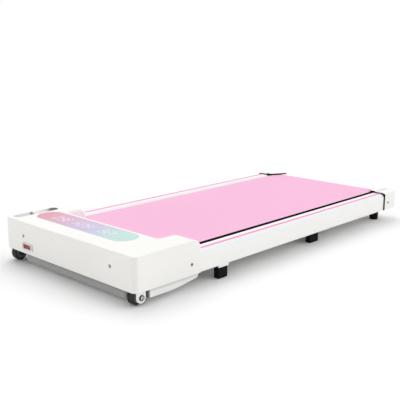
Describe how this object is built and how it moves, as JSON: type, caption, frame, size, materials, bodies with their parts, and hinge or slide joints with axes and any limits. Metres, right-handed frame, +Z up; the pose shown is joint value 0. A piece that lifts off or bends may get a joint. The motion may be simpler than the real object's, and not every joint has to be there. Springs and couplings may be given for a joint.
{
  "type": "walking pad",
  "caption": "Low under-desk walking pad with a pink belt between white rails, a winged motor hood with a display, wheels at the motor end and block feet.",
  "frame": {"origin": "on the floor under the middle of the pad", "axes": "+X from the motor end to the rear end, +Y to the walker's right, +Z up"},
  "size_m": [1.1285, 0.51, 0.116],
  "materials": {
    "white_shell": "satin moulded",
    "white_metal": "satin paint",
    "stripe_pink": "satin",
    "belt_pink": "fine textured",
    "black_rubber": "matte",
    "wheel_rubber": "matte",
    "hub_grey": "matte",
    "frame_steel": "powder coat",
    "bright_steel": "turned",
    "chrome_bolt": "plated",
    "deck_laminate": "black laminate",
    "window_plastic": "printed gradient",
    "circuit_board": "solder mask",
    "digit_plastic": "diffuse",
    "pan_plastic": "moulded",
    "motor_black": "satin",
    "heat_sink": "extruded",
    "control_case": "moulded",
    "pulley_plastic": "moulded",
    "switch_frame": "moulded",
    "switch_red": "gloss",
    "tray_grey": "moulded",
    "inlet_plastic": "moulded",
    "inlet_brass": "plated"
  },
  "bodies": {
    "chassis": {"belly_pan": "pan_plastic", "control_box": "control_case", "control_heat_sink": "heat_sink", "cross_member_front": "frame_steel", "cross_member_middle": "frame_steel", "cross_member_rear": "frame_steel", "deck_board": "deck_laminate", "deck_cushions": "black_rubber", "display_board": "circuit_board", "display_digits": "digit_plastic", "display_window": "window_plastic", "drive_belt": "black_rubber", "end_cap_gasket_left": "black_rubber", "end_cap_gasket_right": "black_rubber", "end_cap_left": "white_shell", "end_cap_right": "white_shell", "frame_tube_left": "frame_steel", "frame_tube_right": "frame_steel", "front_feet": "black_rubber", "front_foot_brackets": "white_metal", "front_roller_axle": "bright_steel", "middle_feet": "black_rubber", "motor_casing": "motor_black", "motor_hood": "white_shell", "motor_mount_plate": "frame_steel", "power_inlet": "inlet_plastic", "power_inlet_pins": "inlet_brass", "power_switch_housing": "switch_frame", "rail_stripe_left": "stripe_pink", "rail_stripe_right": "stripe_pink", "rear_feet": "black_rubber", "rear_roller_axle": "bright_steel", "rear_roller_bracket_left": "frame_steel", "rear_roller_bracket_right": "frame_steel", "remote_tray": "tray_grey", "side_rail_left": "white_metal", "side_rail_right": "white_metal", "under_cover": "frame_steel", "walking_belt": "belt_pink", "wheel_axle_left": "chrome_bolt", "wheel_axle_right": "chrome_bolt", "wheel_bracket_left": "white_metal", "wheel_bracket_right": "white_metal"},
    "front_roller": {"front_roller_tube": "bright_steel", "front_roller_bearings": "bright_steel", "roller_pulley": "pulley_plastic"},
    "rear_roller": {"rear_roller_tube": "bright_steel", "rear_roller_bearings": "bright_steel"},
    "motor_rotor": {"motor_shaft": "bright_steel", "motor_pulley": "bright_steel", "motor_flywheel": "heat_sink"},
    "wheel_left": {"wheel_tyre_left": "wheel_rubber", "wheel_hub_left": "hub_grey"},
    "wheel_right": {"wheel_tyre_right": "wheel_rubber", "wheel_hub_right": "hub_grey"},
    "rocker": {"power_rocker": "switch_red"},
    "tension_left": {"tension_bolt_left": "bright_steel"},
    "tension_right": {"tension_bolt_right": "bright_steel"}
  },
  "joints": [
    {"name": "front_roller_spin", "type": "hinge", "parent": "chassis", "child": "front_roller", "pos_m": [-0.4505, 0, 0.0627], "axis": [0, 1, 0], "continuous": true},
    {"name": "rear_roller_spin", "type": "hinge", "parent": "chassis", "child": "rear_roller", "pos_m": [0.5125, 0, 0.0627], "axis": [0, 1, 0], "continuous": true},
    {"name": "motor_spin", "type": "hinge", "parent": "chassis", "child": "motor_rotor", "pos_m": [-0.5065, -0.1, 0.054], "axis": [0, 1, 0], "continuous": true},
    {"name": "wheel_left_spin", "type": "hinge", "parent": "chassis", "child": "wheel_left", "pos_m": [-0.5405, -0.231, 0.0205], "axis": [0, 1, 0], "continuous": true},
    {"name": "wheel_right_spin", "type": "hinge", "parent": "chassis", "child": "wheel_right", "pos_m": [-0.5405, 0.231, 0.0205], "axis": [0, 1, 0], "continuous": true},
    {"name": "power_rocker_tilt", "type": "hinge", "parent": "chassis", "child": "rocker", "pos_m": [-0.5585, 0.155, 0.0545], "axis": [0, 0, -1], "range_deg": [0, 16]},
    {"name": "tension_left_turn", "type": "hinge", "parent": "chassis", "child": "tension_left", "pos_m": [0.52, -0.2345, 0.0627], "axis": [1, 0, 0], "range_deg": [-90, 90]},
    {"name": "tension_right_turn", "type": "hinge", "parent": "chassis", "child": "tension_right", "pos_m": [0.52, 0.2345, 0.0627], "axis": [1, 0, 0], "range_deg": [-90, 90]}
  ],
  "couplings": [
    {"joint": "rear_roller_spin", "follows": "front_roller_spin", "ratio": 1},
    {"joint": "motor_spin", "follows": "front_roller_spin", "ratio": 2.3913}
  ]
}
